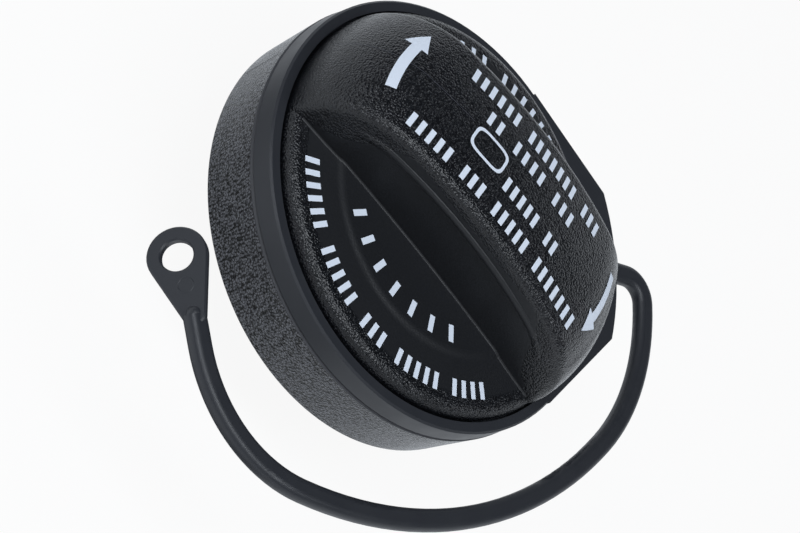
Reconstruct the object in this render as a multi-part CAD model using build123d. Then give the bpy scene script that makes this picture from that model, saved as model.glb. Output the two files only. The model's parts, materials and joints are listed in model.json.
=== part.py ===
from build123d import *
import os
from math import acos, asin, atan2, cos, degrees, hypot, radians, sin, sqrt, tan

# Fuel filler cap with tether. Millimetres and degrees, +Z up along the cap's axis, +X along the grip bar,
# origin on the axis at the neck's lower end, on which the cap stands.

# Levels along the axis
NECK_BELOW_SKIRT = 18.4
SKIRT_HEIGHT = 12.6
RING_HEIGHT = 4.2
GRIP_HEIGHT = 19.6

# Clearances
RUN_GAP = 0.3
RIM_GAP = 0.5
TETHER_PLAY = 0.2
CLIP_FIT = 0.1
GUIDE_GAP = 0.25

# Closure body
NECK_R = 17.5
NECK_WALL = 2.9
PILOT_STEP = 0.6
PILOT_LENGTH = 5.5
PILOT_NOSE = 0.8
FLANGE_LEDGE = 4.9
FLANGE_THICK = 2.5
FLANGE_BELOW_SEAM = 1.0
FLANGE_EDGE = 0.4
HUB_STEP = 2.5
HUB_BELOW_RATCHET = 0.7
THREAD_PITCH = 6.0
THREAD_TURNS = 1.75
THREAD_HEIGHT = 2.2
THREAD_FOOT = 3.4
THREAD_CREST = 1.4
THREAD_LEAD = 0.3
SEAT_LEVEL = 7.0
SEAT_WEB = 2.0
SEAT_BEAD = 0.8
SEAT_BEAD_WIDTH = 1.2
MOUTH_STEP = 1.4
COVER_LEDGE = 1.8
COVER_THICK = 1.6
COVER_SINK = 2.0
COVER_BOSS_WALL = 1.6
COVER_BOSS_DROP = 2.5
VENT_COUNT = 4
VENT_R = 1.5
VENT_SHARE = 0.66

# Neck gasket and retainer ring
GASKET_WIDTH = 6.5
GASKET_HEIGHT = 3.2
GASKET_ROUND = 1.3
RETAINER_SEAT = 1.0
RETAINER_HOLD = 2.6
RETAINER_THICK = 1.2
RETAINER_GAP_ANGLE = 14.0

# Drive wall of the grip, its clip bead and its ratchet teeth
DRIVE_WALL = 3.0
DRIVE_SHOULDER = 0.5
DRIVE_LIP = 1.4
BEAD_HEIGHT = 0.8
BEAD_OUT = 0.5
DRIVE_KEYS = 6
KEY_WIDTH = 3.0
KEY_OUT = 1.2
TOOTH_COUNT = 24
TOOTH_DEPTH = 1.3

# Grip handle
GRIP_OVERHANG = 2.9
GRIP_WALL = 2.4
CROWN_R = 100.0
SHOULDER_R = 16.0
BAR_FOOT_HALF = 13.35
BAR_DRAFT = 1.0
BAR_EDGE = 1.8
SCOOP_DEPTH = 0.75
SCOOP_HALF = 25.0
CREASE_DROP = 4.3
RIM_RISE = 2.2
RIM_ROUND = 2.0
FLOOR_RISE = 0.5
PLATEAU_RISE = 0.35
PLATEAU_R = 25.4
RISER_RUN = 2.0
BAR_WEBS = 4
WEB_SPACING = 11.0
WEB_WIDTH = 1.6
WEB_LIFT = 2.4

# Ratchet ring with spring pawls
PAWL_COUNT = 4
PAWL_SPAN = 52.0
PAWL_THICK = 1.4
PAWL_ROOT = 7.0
PAWL_NOSE = 12.0
PAWL_SLOT = 1.6
RATCHET_KEYS = 6
RATCHET_KEY_WIDTH = 4.0
RATCHET_KEY_OUT = 1.4

# Tether
RING_WALL = 2.1
RING_DRAFT = 0.15
RING_EDGE = 0.35
LIP_THICK = 1.8
LOBE_OUT = 6.2
LOBE_HALF_ANGLE = 18.2
LOBE_ANGLE = 37.2
ARM_WIDTH = 3.8
ARM_THICK = 2.85
ARM_CORNER = 1.25
ARM_STUB = 4.6
ARM_ROOT_R = 4.4
ARM_ROOT_TURN = 92.2
ARM_SIDE_R = 39.9
ARM_SIDE_TURN = 46.0
ARM_FRONT_R = 82.0
ARM_FRONT_TURN = 52.9
ARM_END_R = 25.5
ARM_END_TURN = 66.0
ARM_TAIL = 5.0
EYE_REACH = 10.25
EYE_R = 4.85
EYE_HOLE_R = 2.6
EYE_THICK = 1.6
EYE_EDGE = 0.25
EYE_TURN = -6.6
EYE_DROP = 15.3
EYE_TWIST = -51.6

# Outer skirt
SKIRT_STEP = 0.1
SKIRT_DRAFT = 4.0
SKIRT_WALL = 2.2
SKIRT_FLANGE = 2.0
SKIRT_EDGE = 0.4
SKIRT_GUSSETS = 12
GUSSET_WIDTH = 1.6
GUSSET_DROP = 3.0

# Spring wire, drawn with flat sides in place of a round
WIRE_SIDES = 8

# Pressure valve
PLATE_ROOM = 2.2
PLATE_RIM = 0.6
PLATE_THICK = 1.5
PLATE_EARS = 4
EAR_WIDTH = 4.0
GUIDE_WALL = 1.05
GUIDE_HEIGHT = 2.4
SEAL_LAP = 2.0
SEAL_SHARE = 0.625
SEAL_THICK = 1.5
COIL_LEDGE = 1.8
PRESSURE_WIRE = 1.4
PRESSURE_TURNS = 4
BOSS_PLAY = 1.3

# Vacuum valve
STEM_SHARE = 0.475
DISC_SHARE = 0.745
DISC_THICK = 1.6
STEM_HEIGHT = 9.0
STEM_TIP = 0.9
CLIP_RIM = 0.55
CLIP_THICK = 0.8
CLIP_GROOVE = 0.35
VACUUM_WIRE = 0.7
VACUUM_TURNS = 3
COIL_PLAY = 0.75

# Levels that follow from the sizes above
SEAM = NECK_BELOW_SKIRT + SKIRT_HEIGHT
RING_TOP = SEAM + RING_HEIGHT
CROWN = RING_TOP + GRIP_HEIGHT
RIM = RING_TOP + RIM_RISE
SHOULDER_LEVEL = RIM - RIM_ROUND
FLOOR = RIM + FLOOR_RISE
PLATEAU = FLOOR + PLATEAU_RISE
CEILING = RIM - GRIP_WALL
RING_FOOT = SEAM + TETHER_PLAY
GRIP_FOOT = RING_FOOT + LIP_THICK + TETHER_PLAY
FLANGE_TOP = SEAM - FLANGE_BELOW_SEAM
FLANGE_FOOT = FLANGE_TOP - FLANGE_THICK
RETAINER_TOP = FLANGE_FOOT - RUN_GAP
RETAINER_FOOT = RETAINER_TOP - RETAINER_THICK
DRIVE_FOOT = RETAINER_FOOT - DRIVE_LIP
RATCHET_TOP = CEILING - RUN_GAP
HUB_TOP = RATCHET_TOP - HUB_BELOW_RATCHET
COVER_FOOT = HUB_TOP - COVER_SINK
THREAD_START = PILOT_LENGTH + THREAD_LEAD + THREAD_FOOT / 2
SEAT_TOP = SEAT_LEVEL + SEAT_BEAD
PLATE_FOOT = SEAT_TOP + SEAL_THICK
PLATE_TOP = PLATE_FOOT + PLATE_THICK
CLIP_FOOT = PLATE_TOP + STEM_HEIGHT - STEM_TIP - CLIP_THICK
ARM_LEVEL = (RING_FOOT + RING_TOP) / 2

# Radii, from the neck outwards
GASKET_R = NECK_R + GASKET_WIDTH
FLANGE_R = GASKET_R + FLANGE_LEDGE
RETAINER_IN_R = FLANGE_R - RETAINER_HOLD
DRIVE_IN_R = FLANGE_R + RIM_GAP
RETAINER_R = DRIVE_IN_R + RETAINER_SEAT
DRIVE_R = DRIVE_IN_R + DRIVE_WALL
GRIP_RIM_R = DRIVE_R + GRIP_OVERHANG
RING_IN_R = GRIP_RIM_R + RIM_GAP
RING_R = RING_IN_R + RING_WALL
LOBE_R = RING_R + LOBE_OUT
SKIRT_TOP_R = RING_R + SKIRT_STEP
SKIRT_RIM_R = SKIRT_TOP_R - SKIRT_HEIGHT * tan(radians(SKIRT_DRAFT))

# Radii inside the neck, and of the valves
PILOT_R = NECK_R - PILOT_STEP
NECK_BORE_R = NECK_R - NECK_WALL
MOUTH_R = NECK_BORE_R - MOUTH_STEP
COVER_R = NECK_BORE_R + COVER_LEDGE
HUB_R = NECK_R + HUB_STEP
PLATE_R = NECK_BORE_R - PLATE_ROOM
PRESSURE_COIL_R = PLATE_R - COIL_LEDGE
COVER_BOSS_R = PRESSURE_COIL_R - PRESSURE_WIRE / 2 - BOSS_PLAY
VENT_PCD_R = VENT_SHARE * (COVER_BOSS_R - COVER_BOSS_WALL)
SEAL_R = PLATE_R - PLATE_RIM
BEAD_R = SEAL_R - SEAL_LAP
SEAT_HOLE_R = BEAD_R - SEAT_BEAD_WIDTH
DISC_R = DISC_SHARE * SEAT_HOLE_R
SEAL_HOLE_R = SEAL_SHARE * DISC_R
STEM_R = STEM_SHARE * SEAL_HOLE_R
GUIDE_R = STEM_R + GUIDE_GAP + GUIDE_WALL
VACUUM_COIL_R = GUIDE_R + COIL_PLAY + VACUUM_WIRE / 2
CLIP_R = VACUUM_COIL_R + VACUUM_WIRE / 2 + CLIP_RIM
TOOTH_PITCH = 360.0 / TOOTH_COUNT


def polar(radius, angle, centre=(0.0, 0.0)):
    """The point at a radius and an angle in degrees about a centre."""
    return (centre[0] + radius * cos(radians(angle)), centre[1] + radius * sin(radians(angle)))


def round_arc(centre, radius, start, end):
    """An arc about a centre from one angle to another."""
    first, middle, last = (polar(radius, angle, centre) for angle in (start, (start + end) / 2, end))
    return ThreePointArc(first, middle, last)


def spun(*points):
    """A solid of revolution from the corners of its half section, as (radius, level)."""
    return revolve(Plane.XZ * make_face(Polyline(*points, close=True)), Axis.Z)


def sector(radius, start, end):
    """A flat pie slice, for keeping part of a ring."""
    arc = round_arc((0, 0), radius, start, end)
    return make_face([Line((0, 0), arc @ 0), arc, Line(arc @ 1, (0, 0))])


def tube(outer, inner, foot, top):
    """A plain ring between two levels."""
    return Pos(0, 0, foot) * extrude(Circle(outer) - Circle(inner), top - foot)


def coil(radius, wire, turns, foot, top):
    """A spring with ends ground flat: half turns of wire in tilted planes, which meet tangent."""
    rise = (top - foot) / (2 * turns)
    reach = hypot(radius, rise / 2)
    spring = []
    for i in range(2 * turns):
        side = 1 if i % 2 == 0 else -1
        chord = Vector(-2 * side * radius, 0, rise)
        normal = chord.cross(Vector(0, side, 0))
        start = Vector(side * radius, 0, foot + i * rise)
        section = Plane(start, x_dir=chord, z_dir=(0, side, 0)) * RegularPolygon(wire / 2, WIRE_SIDES)
        spring.append(revolve(section, Axis(start + chord / 2, -normal), 180))
    slab = Pos(0, 0, foot) * extrude(Circle(reach + wire), top - foot)
    return Part() + spring & slab


def ease(start, end):
    """Two equal arcs from one flat to another, level at both ends."""
    middle = ((start[0] + end[0]) / 2, (start[1] + end[1]) / 2)
    way = 1 if end[0] > start[0] else -1
    return [TangentArc(start, middle, tangent=(way, 0)), TangentArc(end, middle, tangent=(-way, 0))]


def shoulder_centre():
    """Centre of the shoulder arc, which touches the crown arc and passes through the rim's edge."""
    base = CROWN - CROWN_R
    inner = CROWN_R - SHOULDER_R
    rise = SHOULDER_LEVEL - base
    span = hypot(GRIP_RIM_R, rise)
    along = (inner**2 - SHOULDER_R**2 + span**2) / (2 * span)
    across = sqrt(inner**2 - along**2)
    return ((along * GRIP_RIM_R - across * rise) / span, base + (along * rise + across * GRIP_RIM_R) / span)


def dome(inset, foot):
    """The grip's domed form, drawn in by an inset and cut off flat at a level."""
    base = (0.0, CROWN - CROWN_R)
    centre = shoulder_centre()
    lean = degrees(atan2(centre[1] - base[1], centre[0]))
    fall = degrees(asin((foot - centre[1]) / (SHOULDER_R - inset)))
    crown = round_arc(base, CROWN_R - inset, 90, lean)
    shoulder = round_arc(centre, SHOULDER_R - inset, lean, fall)
    outline = [Line((0, foot), crown @ 0), crown, shoulder, Line(shoulder @ 1, (0, foot))]
    return revolve(Plane.XZ * make_face(outline), Axis.Z)


def bar_half(level):
    """Half the bar's width at a level, with the side walls' draft."""
    return BAR_FOOT_HALF - (level - PLATEAU) * tan(radians(BAR_DRAFT))


def bar_prism(foot, top, inset=0.0):
    """The space between the bar's drafted side walls, from one level to another."""
    low, high = bar_half(foot) - inset, bar_half(top) - inset
    section = make_face(Polyline((-low, foot), (low, foot), (high, top), (-high, top), close=True))
    return extrude(Plane.YZ * section, GRIP_RIM_R, both=True)


def grip_base():
    """The round base of the grip: a low plateau, a floor that falls away from it, and a round rim."""
    riser_foot, riser_top = PLATEAU_R + RISER_RUN / 2, PLATEAU_R - RISER_RUN / 2
    floor_end = GRIP_RIM_R - RIM_ROUND
    outline = [
        Line((0, PLATEAU), (0, GRIP_FOOT)),
        Line((0, GRIP_FOOT), (GRIP_RIM_R, GRIP_FOOT)),
        Line((GRIP_RIM_R, GRIP_FOOT), (GRIP_RIM_R, SHOULDER_LEVEL)),
        round_arc((floor_end, SHOULDER_LEVEL), RIM_ROUND, 0, 90),
        Line((floor_end, RIM), (riser_foot, FLOOR)),
        *ease((riser_foot, FLOOR), (riser_top, PLATEAU)),
        Line((riser_top, PLATEAU), (0, PLATEAU)),
    ]
    return revolve(Plane.XZ * make_face(outline), Axis.Z)


def grip_bar():
    """The domed bar that the hand turns: long round top edges, and a finger scoop under each of them."""
    bar = dome(0.0, SHOULDER_LEVEL) & bar_prism(SHOULDER_LEVEL, CROWN + GRIP_WALL)
    walls = [face for face in bar.faces() if abs(face.normal_at().Y) > cos(radians(2 * BAR_DRAFT))]
    edges = [edge for wall in walls for edge in wall.edges() if edge.center().Z > PLATEAU]
    bar = fillet(edges, BAR_EDGE)
    scoop_r = (SCOOP_HALF**2 + SCOOP_DEPTH**2) / (2 * SCOOP_DEPTH)
    scoop = Pos(0, BAR_FOOT_HALF - SCOOP_DEPTH + scoop_r, SHOULDER_LEVEL) * Circle(scoop_r)
    scoop = extrude(scoop, CROWN - SHOULDER_LEVEL) & dome(CREASE_DROP, SHOULDER_LEVEL)
    return bar - scoop - mirror(scoop, Plane.XZ)


def grip_hollow():
    """The space under the grip: a round well, and the inside of the bar between its webs."""
    well = Pos(0, 0, DRIVE_FOOT) * extrude(Circle(DRIVE_IN_R), CEILING - DRIVE_FOOT)
    room = Pos(0, 0, DRIVE_FOOT) * extrude(Circle(DRIVE_IN_R), CROWN - DRIVE_FOOT)
    inside = dome(GRIP_WALL, CEILING) & bar_prism(CEILING, CROWN, GRIP_WALL) & room
    for i in range(BAR_WEBS):
        place = (i - (BAR_WEBS - 1) / 2) * WEB_SPACING
        web = Rectangle(WEB_WIDTH, 2 * GRIP_RIM_R)
        inside -= Pos(place, 0, CEILING + WEB_LIFT) * extrude(web, CROWN - CEILING)
    return well + inside


def drive_keys(clearance):
    """The keys that turn the skirt with the grip, or their notches with a clearance."""
    reach = DRIVE_R + KEY_OUT + clearance
    key = Pos(reach / 2, 0, 0) * Rectangle(reach, KEY_WIDTH + 2 * clearance)
    return [Rot(0, 0, (i + 0.5) * 360 / DRIVE_KEYS) * key for i in range(DRIVE_KEYS)]


def drive_wall():
    """The wall under the grip: it carries the skirt and holds the ratchet teeth and the retainer ring."""
    flange_foot = SEAM - SKIRT_FLANGE
    wall = tube(DRIVE_R, DRIVE_IN_R, DRIVE_FOOT, GRIP_FOOT)
    wall += tube(DRIVE_R + DRIVE_SHOULDER, DRIVE_IN_R, SEAM, GRIP_FOOT)
    bead_top = flange_foot - CLIP_FIT
    wall += spun(
        (DRIVE_IN_R, bead_top),
        (DRIVE_R + BEAD_OUT, bead_top),
        (DRIVE_R + BEAD_OUT, bead_top - BEAD_HEIGHT / 2),
        (DRIVE_R, bead_top - 2 * BEAD_HEIGHT),
        (DRIVE_IN_R, bead_top - 2 * BEAD_HEIGHT),
    )
    for key in drive_keys(0.0):
        wall += Pos(0, 0, flange_foot) * extrude(key - Circle(DRIVE_IN_R), SKIRT_FLANGE)
    return wall - tube(RETAINER_R + CLIP_FIT, DRIVE_IN_R, RETAINER_FOOT - CLIP_FIT, RETAINER_TOP + CLIP_FIT)


def ratchet_teeth():
    """Saw teeth inside the drive wall: a ramp one way, a steep face the other."""
    foot = FLANGE_TOP + RUN_GAP
    root = DRIVE_IN_R + RUN_GAP
    teeth = []
    for i in range(TOOTH_COUNT):
        start, end = i * TOOTH_PITCH, (i + 1) * TOOTH_PITCH
        corners = [polar(root, start), polar(DRIVE_IN_R - TOOTH_DEPTH, end), polar(root, end)]
        tooth = make_face(Polyline(*corners, close=True))
        teeth.append(Pos(0, 0, foot) * extrude(tooth, CEILING - foot))
    return teeth


def grip_handle():
    """The grip moulding."""
    grip = grip_base() + grip_bar() - grip_hollow() + drive_wall()
    return grip + ratchet_teeth()


def outer_skirt():
    """The drafted shroud with its top flange, stiffened by gussets, and notches for the grip's keys."""
    flange_foot = SEAM - SKIRT_FLANGE
    bore = DRIVE_R + CLIP_FIT
    shell = spun(
        (bore, SEAM),
        (SKIRT_TOP_R - SKIRT_EDGE, SEAM),
        (SKIRT_TOP_R, SEAM - SKIRT_EDGE),
        (SKIRT_RIM_R, NECK_BELOW_SKIRT + SKIRT_EDGE),
        (SKIRT_RIM_R - SKIRT_EDGE, NECK_BELOW_SKIRT),
        (SKIRT_RIM_R - SKIRT_WALL, NECK_BELOW_SKIRT),
        (SKIRT_TOP_R - SKIRT_WALL, flange_foot),
        (bore, flange_foot),
    )
    inner = DRIVE_R + KEY_OUT + BEAD_OUT
    outer = SKIRT_TOP_R - SKIRT_WALL + RUN_GAP
    corners = [(inner, flange_foot), (outer, flange_foot), (outer, flange_foot - GUSSET_DROP)]
    gusset = extrude(Plane.XZ * make_face(Polyline(*corners, close=True)), GUSSET_WIDTH / 2, both=True)
    for i in range(SKIRT_GUSSETS):
        shell += Rot(0, 0, (i + 0.5) * 360 / SKIRT_GUSSETS) * gusset
    for key in drive_keys(CLIP_FIT):
        shell -= Pos(0, 0, flange_foot) * extrude(key, SKIRT_FLANGE)
    return shell


def tether_ring():
    """The swivel ring, with an inner lip held between the grip and the skirt."""
    lip = DRIVE_R + DRIVE_SHOULDER + RUN_GAP
    return spun(
        (RING_R, RING_FOOT),
        (RING_R - RING_DRAFT, RING_TOP - RING_EDGE),
        (RING_R - RING_DRAFT - RING_EDGE, RING_TOP),
        (RING_IN_R, RING_TOP),
        (RING_IN_R, RING_FOOT + LIP_THICK),
        (lip, RING_FOOT + LIP_THICK),
        (lip, RING_FOOT),
    )


def tether_lobe():
    """The lobe that the strap grows from: two flats that touch the ring, and a round end."""
    touch = LOBE_HALF_ANGLE + degrees(acos(RING_R / LOBE_R))
    outline = [
        Line(polar(RING_R, touch), polar(LOBE_R, LOBE_HALF_ANGLE)),
        round_arc((0, 0), LOBE_R, LOBE_HALF_ANGLE, -LOBE_HALF_ANGLE),
        Line(polar(LOBE_R, -LOBE_HALF_ANGLE), polar(RING_R, -touch)),
        Line(polar(RING_R, -touch), polar(RING_IN_R, -touch)),
        round_arc((0, 0), RING_IN_R, -touch, touch),
        Line(polar(RING_IN_R, touch), polar(RING_R, touch)),
    ]
    return Pos(0, 0, RING_FOOT) * Rot(0, 0, LOBE_ANGLE) * extrude(make_face(outline), RING_TOP - RING_FOOT)


def arm_path():
    """The strap's centre line: a stub out of the lobe, tangent arcs that turn one way, a straight tail."""
    pieces = [Line(polar(RING_R, LOBE_ANGLE), polar(LOBE_R + ARM_STUB, LOBE_ANGLE))]
    bends = [(ARM_ROOT_R, ARM_ROOT_TURN), (ARM_SIDE_R, ARM_SIDE_TURN), (ARM_FRONT_R, ARM_FRONT_TURN)]
    for radius, turn in bends + [(ARM_END_R, ARM_END_TURN)]:
        pieces.append(JernArc(pieces[-1] @ 1, pieces[-1] % 1, radius, -turn))
    end = pieces[-1] @ 1
    pieces.append(Line(end, end + (pieces[-1] % 1) * ARM_TAIL))
    return Pos(0, 0, ARM_LEVEL) * Wire(pieces)


def tether_eye(path):
    """The flat eye at the strap's end, turned, dropped and twisted from the strap's line."""
    heading = path % 1
    azimuth = radians(degrees(atan2(heading.Y, heading.X)) + EYE_TURN)
    drop, twist = radians(EYE_DROP), radians(EYE_TWIST)
    along = Vector(cos(azimuth) * cos(drop), sin(azimuth) * cos(drop), -sin(drop))
    over = Vector(cos(azimuth) * sin(drop), sin(azimuth) * sin(drop), cos(drop))
    normal = over * cos(twist) + along.cross(over) * sin(twist)
    neck_r = ARM_WIDTH / 2
    flank = degrees(acos((EYE_R - neck_r) / EYE_REACH))
    centre = (EYE_REACH, 0.0)
    sides = Polyline(
        polar(neck_r, 180 - flank),
        polar(EYE_R, 180 - flank, centre),
        polar(EYE_R, flank - 180, centre),
        polar(neck_r, flank - 180),
        close=True,
    )
    outline = make_face(sides) + Circle(neck_r) + Pos(*centre) * Circle(EYE_R)
    plate = extrude(outline - Pos(*centre) * Circle(EYE_HOLE_R), EYE_THICK / 2, both=True)
    plate = chamfer(plate.edges().filter_by(Plane.XY), EYE_EDGE)
    return Plane(path @ 1, x_dir=along, z_dir=normal) * plate


def tether():
    """The tether: ring, lobe, strap and eye in one moulding."""
    path = arm_path()
    start = path % 0
    section = Plane(path @ 0, x_dir=Vector(0, 0, 1).cross(start), z_dir=start)
    arm = sweep(section * RectangleRounded(ARM_WIDTH, ARM_THICK, ARM_CORNER), path)
    knuckle = Pos(*(path @ 1)) * Sphere(ARM_THICK / 2)
    return tether_ring() + tether_lobe() + arm + knuckle + tether_eye(path)


def ratchet_ring():
    """The torque limiter's ring, keyed to the hub: its spring pawls point at the teeth's steep faces."""
    arm_r = DRIVE_IN_R - TOOTH_DEPTH - RUN_GAP
    body_r = arm_r - PAWL_THICK - PAWL_SLOT
    tip_r = DRIVE_IN_R - RUN_GAP
    plan = Circle(body_r) - Circle(HUB_R + CLIP_FIT)
    for key in hub_keys(CLIP_FIT):
        plan -= key
    for i in range(PAWL_COUNT):
        tip = round(i * TOOTH_COUNT / PAWL_COUNT) * TOOTH_PITCH + degrees(RUN_GAP / tip_r)
        band = Circle(arm_r) - Circle(arm_r - PAWL_THICK)
        root = Circle(arm_r) - Circle(body_r - PAWL_THICK)
        nose = [polar(arm_r - PAWL_THICK, tip), polar(tip_r, tip), polar(arm_r, tip + PAWL_NOSE)]
        nose.append(polar(arm_r - PAWL_THICK, tip + PAWL_NOSE))
        plan += band & sector(DRIVE_R, tip, tip + PAWL_SPAN)
        plan += root & sector(DRIVE_R, tip + PAWL_SPAN - PAWL_ROOT, tip + PAWL_SPAN)
        plan += make_face(Polyline(*nose, close=True))
    return Pos(0, 0, FLANGE_TOP) * extrude(plan, RATCHET_TOP - FLANGE_TOP)


def hub_keys(clearance):
    """The hub's keys for the ratchet ring, or their slots with a clearance."""
    reach = HUB_R + RATCHET_KEY_OUT + clearance
    key = Pos(reach / 2, 0, 0) * Rectangle(reach, RATCHET_KEY_WIDTH + 2 * clearance)
    return [Rot(0, 0, i * 360 / RATCHET_KEYS) * key for i in range(RATCHET_KEYS)]


def neck_thread():
    """The coarse screw thread round the neck."""
    path = Pos(0, 0, THREAD_START) * Helix(THREAD_PITCH, THREAD_PITCH * THREAD_TURNS, NECK_R)
    section = Plane(path @ 0, x_dir=(1, 0, 0), z_dir=path % 0)
    sunk = RUN_GAP
    ridge = Polyline(
        (-sunk, -THREAD_FOOT / 2),
        (0, -THREAD_FOOT / 2),
        (THREAD_HEIGHT, -THREAD_CREST / 2),
        (THREAD_HEIGHT, THREAD_CREST / 2),
        (0, THREAD_FOOT / 2),
        (-sunk, THREAD_FOOT / 2),
        close=True,
    )
    return sweep(section * make_face(ridge), path, is_frenet=True)


def closure_body():
    """The threaded plug: flange, hub with keys, valve seat and the counterbore for the chamber's cover."""
    body = spun(
        (PILOT_R - PILOT_NOSE, 0.0),
        (PILOT_R, PILOT_NOSE),
        (PILOT_R, PILOT_LENGTH),
        (NECK_R, PILOT_LENGTH + PILOT_STEP),
        (NECK_R, FLANGE_FOOT),
        (FLANGE_R - FLANGE_EDGE, FLANGE_FOOT),
        (FLANGE_R, FLANGE_FOOT + FLANGE_EDGE),
        (FLANGE_R, FLANGE_TOP),
        (HUB_R, FLANGE_TOP),
        (HUB_R, HUB_TOP),
        (COVER_R + CLIP_FIT, HUB_TOP),
        (COVER_R + CLIP_FIT, COVER_FOOT),
        (NECK_BORE_R, COVER_FOOT),
        (NECK_BORE_R, SEAT_LEVEL),
        (BEAD_R, SEAT_LEVEL),
        (BEAD_R, SEAT_TOP),
        (SEAT_HOLE_R, SEAT_TOP),
        (SEAT_HOLE_R, SEAT_LEVEL - SEAT_WEB),
        (MOUTH_R, SEAT_LEVEL - SEAT_WEB),
        (MOUTH_R, 0.0),
    )
    for key in hub_keys(0.0):
        body += Pos(0, 0, FLANGE_TOP) * extrude(key - Circle(HUB_R - RUN_GAP), HUB_TOP - FLANGE_TOP)
    return body + neck_thread()


def neck_gasket():
    """The ring seal under the flange, rounded where it meets the filler neck."""
    ring = tube(GASKET_R, NECK_R + CLIP_FIT, FLANGE_FOOT - GASKET_HEIGHT, FLANGE_FOOT)
    return fillet(ring.edges().group_by(Axis.Z)[0], GASKET_ROUND)


def retainer_ring():
    """The split ring in the drive wall's groove, under the flange."""
    opening = sector(RETAINER_R + RUN_GAP, -RETAINER_GAP_ANGLE / 2, RETAINER_GAP_ANGLE / 2)
    plan = Circle(RETAINER_R) - Circle(RETAINER_IN_R) - opening
    return Pos(0, 0, RETAINER_FOOT) * extrude(plan, RETAINER_THICK)


def chamber_cover():
    """The valve chamber's lid, with vents and a boss that centres the pressure spring."""
    lid = Pos(0, 0, COVER_FOOT) * extrude(Circle(COVER_R), COVER_THICK)
    lid += tube(COVER_BOSS_R, COVER_BOSS_R - COVER_BOSS_WALL, COVER_FOOT - COVER_BOSS_DROP, COVER_FOOT)
    for place in PolarLocations(VENT_PCD_R, VENT_COUNT):
        lid -= Pos(0, 0, COVER_FOOT) * extrude(place * Circle(VENT_R), COVER_THICK)
    return lid


def pressure_plate():
    """The pressure valve's plate: ears that run in the bore and a guide for the vacuum valve's stem."""
    plan = Circle(PLATE_R)
    ear_r = NECK_BORE_R - GUIDE_GAP
    for i in range(PLATE_EARS):
        ear = Pos(ear_r / 2, 0, 0) * Rectangle(ear_r, EAR_WIDTH)
        plan += (Rot(0, 0, i * 360 / PLATE_EARS) * ear) & Circle(ear_r)
    plate = Pos(0, 0, PLATE_FOOT) * extrude(plan, PLATE_THICK)
    plate += Pos(0, 0, PLATE_TOP) * extrude(Circle(GUIDE_R), GUIDE_HEIGHT)
    return plate - Pos(0, 0, PLATE_FOOT) * extrude(Circle(STEM_R + GUIDE_GAP), PLATE_THICK + GUIDE_HEIGHT)


def pressure_seal():
    """The rubber washer that closes on the seat's bead."""
    return tube(SEAL_R, SEAL_HOLE_R, SEAT_TOP, PLATE_FOOT)


def vacuum_valve():
    """The vacuum valve: a disc under the seal, and a stem with a groove for its clip."""
    groove_r = STEM_R - CLIP_GROOVE
    top = PLATE_TOP + STEM_HEIGHT
    return spun(
        (0.0, SEAT_TOP - DISC_THICK),
        (DISC_R, SEAT_TOP - DISC_THICK),
        (DISC_R, SEAT_TOP),
        (STEM_R, SEAT_TOP),
        (STEM_R, CLIP_FOOT),
        (groove_r, CLIP_FOOT),
        (groove_r, CLIP_FOOT + CLIP_THICK),
        (STEM_R, CLIP_FOOT + CLIP_THICK),
        (STEM_R, top - CLIP_GROOVE),
        (groove_r, top),
        (0.0, top),
    )


def vacuum_clip():
    """The open washer that holds the vacuum spring on the stem."""
    bore = STEM_R - CLIP_GROOVE + CLIP_FIT
    plan = Circle(CLIP_R) - Circle(bore) - Pos(CLIP_R / 2, 0, 0) * Rectangle(CLIP_R, 2 * bore)
    return Pos(0, 0, CLIP_FOOT) * extrude(plan, CLIP_THICK)


PIECES = {
    "grip_handle": grip_handle(),
    "outer_skirt": outer_skirt(),
    "tether": tether(),
    "closure_body": closure_body(),
    "neck_gasket": neck_gasket(),
    "ratchet_ring": ratchet_ring(),
    "retainer_ring": retainer_ring(),
    "chamber_cover": chamber_cover(),
    "pressure_plate": pressure_plate(),
    "pressure_seal": pressure_seal(),
    "pressure_spring": coil(PRESSURE_COIL_R, PRESSURE_WIRE, PRESSURE_TURNS, PLATE_TOP, COVER_FOOT),
    "vacuum_valve": vacuum_valve(),
    "vacuum_spring": coil(VACUUM_COIL_R, VACUUM_WIRE, VACUUM_TURNS, PLATE_TOP, CLIP_FOOT),
    "vacuum_clip": vacuum_clip(),
}

os.makedirs("parts", exist_ok=True)
for name, piece in PIECES.items():
    export_step(piece, f"parts/{name}.step")
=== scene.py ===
import json
import logging
import math
from dataclasses import dataclass, field
from enum import Enum

import bmesh
import bpy
import numpy as np
from mathutils import Matrix, Vector


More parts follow.
